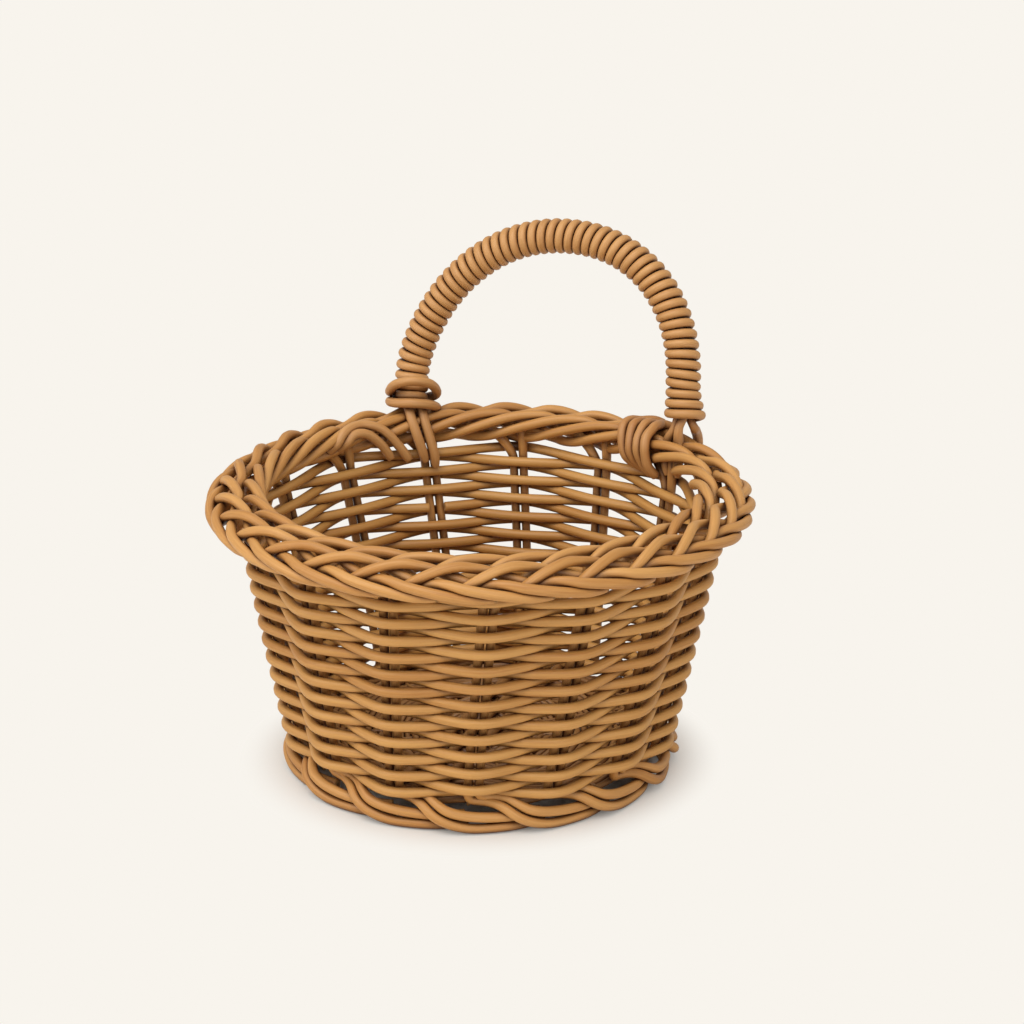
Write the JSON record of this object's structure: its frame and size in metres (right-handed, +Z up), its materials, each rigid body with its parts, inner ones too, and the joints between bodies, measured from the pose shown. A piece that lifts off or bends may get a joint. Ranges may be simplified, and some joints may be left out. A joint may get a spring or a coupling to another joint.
{
  "type": "hanging storage basket",
  "caption": "Small round basket woven from thick round cane, with a plaited rim and one fixed, bound carrying arch over the back of the rim.",
  "frame": {"origin": "on the floor under the middle of the basket's round foot", "axes": "+Z up, +Y towards the back of the rim where the arch stands, X along the arch from foot to foot"},
  "size_m": [0.2196, 0.2191, 0.2033],
  "materials": {
    "stake_cane": "satin round cane, honey brown",
    "weaver_cane": "satin round cane, honey brown",
    "handle_cane": "satin round cane, honey brown",
    "base_cane": "satin round cane, darker brown"
  },
  "bodies": {
    "root": {"stake_01_a": "stake_cane", "stake_01_b": "stake_cane", "stake_02_a": "stake_cane", "stake_02_b": "stake_cane", "stake_03_a": "stake_cane", "stake_03_b": "stake_cane", "stake_04_a": "stake_cane", "stake_04_b": "stake_cane", "stake_05_a": "stake_cane", "stake_05_b": "stake_cane", "stake_06_a": "stake_cane", "stake_06_b": "stake_cane", "stake_07_a": "stake_cane", "stake_07_b": "stake_cane", "stake_08_a": "stake_cane", "stake_08_b": "stake_cane", "stake_09_a": "stake_cane", "stake_09_b": "stake_cane", "stake_10_a": "stake_cane", "stake_10_b": "stake_cane", "stake_11_a": "stake_cane", "stake_11_b": "stake_cane", "stake_12_a": "stake_cane", "stake_12_b": "stake_cane", "stake_13_a": "stake_cane", "stake_13_b": "stake_cane", "stake_14_a": "stake_cane", "stake_14_b": "stake_cane", "stake_15_a": "stake_cane", "stake_15_b": "stake_cane", "wall_weaver_1": "weaver_cane", "wall_weaver_2": "weaver_cane", "wall_weaver_3": "weaver_cane", "wall_weaver_4": "weaver_cane", "handle_rod_1": "handle_cane", "handle_rod_2": "handle_cane", "handle_rod_3": "handle_cane", "handle_wrap": "handle_cane", "left_ring_tie": "handle_cane", "left_cross_tie_1": "handle_cane", "left_cross_tie_2": "handle_cane", "right_tie_1": "handle_cane", "right_tie_2": "handle_cane", "right_tie_3": "handle_cane", "right_tie_4": "handle_cane", "base_weave": "base_cane", "base_stick_lower_1": "base_cane", "base_stick_lower_2": "base_cane", "base_stick_lower_3": "base_cane", "base_stick_upper_1": "base_cane", "base_stick_upper_2": "base_cane", "base_stick_upper_3": "base_cane"}
  },
  "joints": []
}
